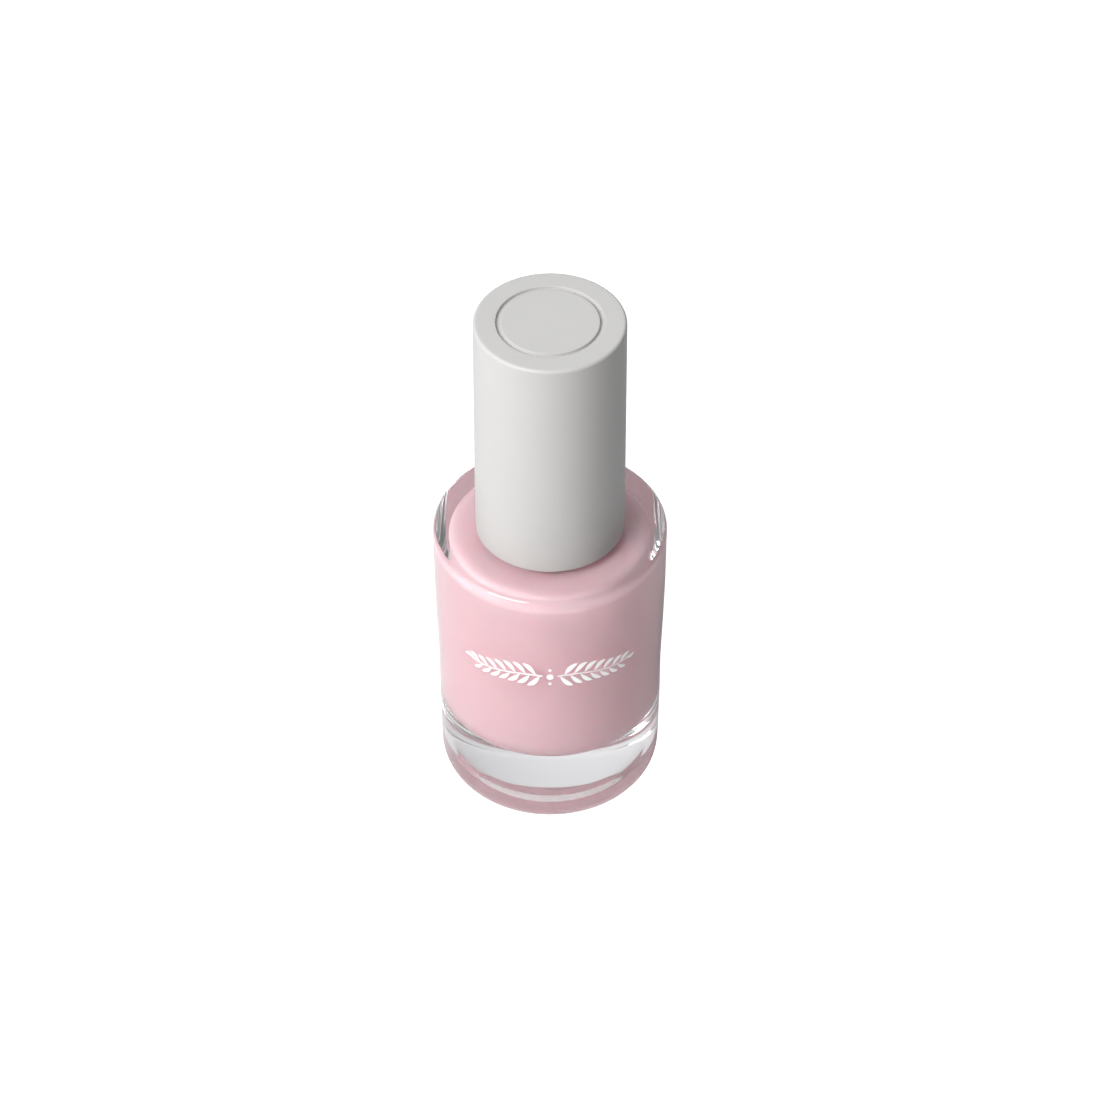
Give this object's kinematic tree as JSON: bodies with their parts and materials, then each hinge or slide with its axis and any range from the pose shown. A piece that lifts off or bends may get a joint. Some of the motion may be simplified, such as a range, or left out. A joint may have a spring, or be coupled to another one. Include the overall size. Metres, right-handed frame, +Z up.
{
  "type": "nail polish bottle",
  "caption": "Round thick-walled glass bottle of pale pink cream nail polish, with a tall matte grey screw cap that carries the brush.",
  "frame": {"origin": "middle of the base, on the surface that the bottle stands on", "axes": "+Z up along the axis of the bottle and cap, -Y towards the printed front"},
  "size_m": [0.0282, 0.0282, 0.0697],
  "materials": {
    "clear_glass": "polished clear glass",
    "pink_polish": "opaque cream lacquer, liquid",
    "ball_steel": "polished steel",
    "cap_grey": "fine matte",
    "inner_plastic": "moulded polypropylene",
    "liner_film": "smooth film",
    "liner_foam": "fine foam",
    "stem_plastic": "moulded polyethylene",
    "bristle_nylon": "fine nylon filaments",
    "staple_brass": "drawn wire"
  },
  "bodies": {
    "bottle": {"glass_bottle": "clear_glass", "nail_polish": "pink_polish"},
    "ball_1": {"mixing_ball_1": "ball_steel"},
    "ball_2": {"mixing_ball_2": "ball_steel"},
    "liner": {"seal_liner": "liner_film"},
    "backing": {"liner_backing": "liner_foam"},
    "brush_cap": {"overcap": "cap_grey", "inner_cap": "inner_plastic", "brush_stem": "stem_plastic", "brush_bristles": "bristle_nylon", "bristle_staple": "staple_brass"}
  },
  "joints": [
    {"name": "cap_lift", "type": "slide", "parent": "bottle", "child": "liner", "axis": [0, 0, 1], "range_m": [0, 0.042]},
    {"name": "cap_rise", "type": "slide", "parent": "liner", "child": "backing", "axis": [0, 0, 1], "range_m": [0, 0.00318]},
    {"name": "cap_turn", "type": "hinge", "parent": "backing", "child": "brush_cap", "pos_m": [0, 0, 0.045], "axis": [0, 0, 1], "range_deg": [0, 540]},
    {"name": "ball_1_roll", "type": "hinge", "parent": "bottle", "child": "ball_1", "pos_m": [0, 0, 0.0114], "axis": [0, 0, 1], "range_deg": [-60, 60]},
    {"name": "ball_2_roll", "type": "hinge", "parent": "bottle", "child": "ball_2", "pos_m": [0, 0, 0.0114], "axis": [0, 0, 1], "range_deg": [-60, 60]}
  ],
  "couplings": [
    {"joint": "cap_rise", "follows": "cap_turn", "m_per_rad": 0.00033693}
  ]
}
